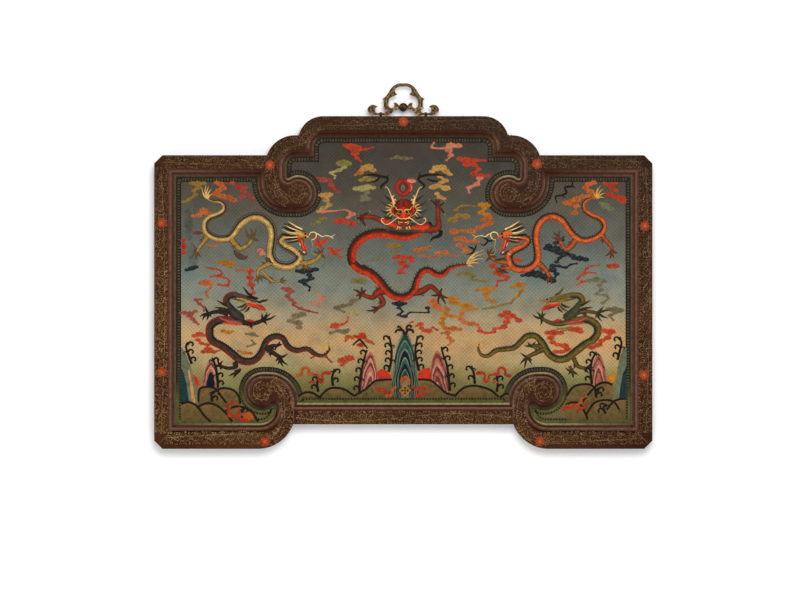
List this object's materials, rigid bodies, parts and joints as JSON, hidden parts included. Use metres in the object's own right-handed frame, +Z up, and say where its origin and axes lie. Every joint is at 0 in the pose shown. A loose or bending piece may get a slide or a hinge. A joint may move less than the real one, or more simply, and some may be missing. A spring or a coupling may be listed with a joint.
{
  "type": "lacquer wall panel",
  "caption": "Hanging lacquer panel with a recessed painted field in a stepped, scroll-cornered wooden frame, carried by a swinging gilt bronze loop on the crest.",
  "frame": {"origin": "on the wall plane, at the middle of the body's width and of its height without the hanger", "axes": "+X to the right seen from the front, +Y into the wall, +Z up"},
  "size_m": [1.096, 0.042, 0.806],
  "materials": {
    "lacquer_frame": "brown lacquer, satin",
    "lacquer_field": "filled-in and engraved coloured lacquer, satin",
    "core_wood": "planed softwood",
    "batten_wood": "planed hardwood",
    "peg_wood": "split hardwood",
    "gilt_bronze": "worn gilding"
  },
  "bodies": {
    "panel": {"crest_rail": "lacquer_frame", "left_shoulder_scroll": "lacquer_frame", "right_shoulder_scroll": "lacquer_frame", "left_shoulder_rail": "lacquer_frame", "right_shoulder_rail": "lacquer_frame", "left_stile": "lacquer_frame", "right_stile": "lacquer_frame", "left_foot_rail": "lacquer_frame", "right_foot_rail": "lacquer_frame", "left_foot_scroll": "lacquer_frame", "right_foot_scroll": "lacquer_frame", "bottom_rail": "lacquer_frame", "lacquer_ground": "lacquer_field", "core_board_1": "core_wood", "core_board_2": "core_wood", "core_board_3": "core_wood", "core_board_4": "core_wood", "core_board_5": "core_wood", "left_batten": "batten_wood", "centre_batten": "batten_wood", "right_batten": "batten_wood", "scroll_tenons": "peg_wood", "corner_tenons": "peg_wood", "frame_pegs": "peg_wood", "left_hanger_eye": "gilt_bronze", "right_hanger_eye": "gilt_bronze", "left_eye_washer": "gilt_bronze", "right_eye_washer": "gilt_bronze"},
    "hanger": {"hanger_loop": "gilt_bronze", "hanger_boss": "gilt_bronze", "boss_rove": "gilt_bronze"}
  },
  "joints": [
    {"name": "hanger_swing", "type": "hinge", "parent": "panel", "child": "hanger", "pos_m": [0, -0.021, 0.372], "axis": [1, 0, 0], "range_deg": [-85, 80]}
  ]
}
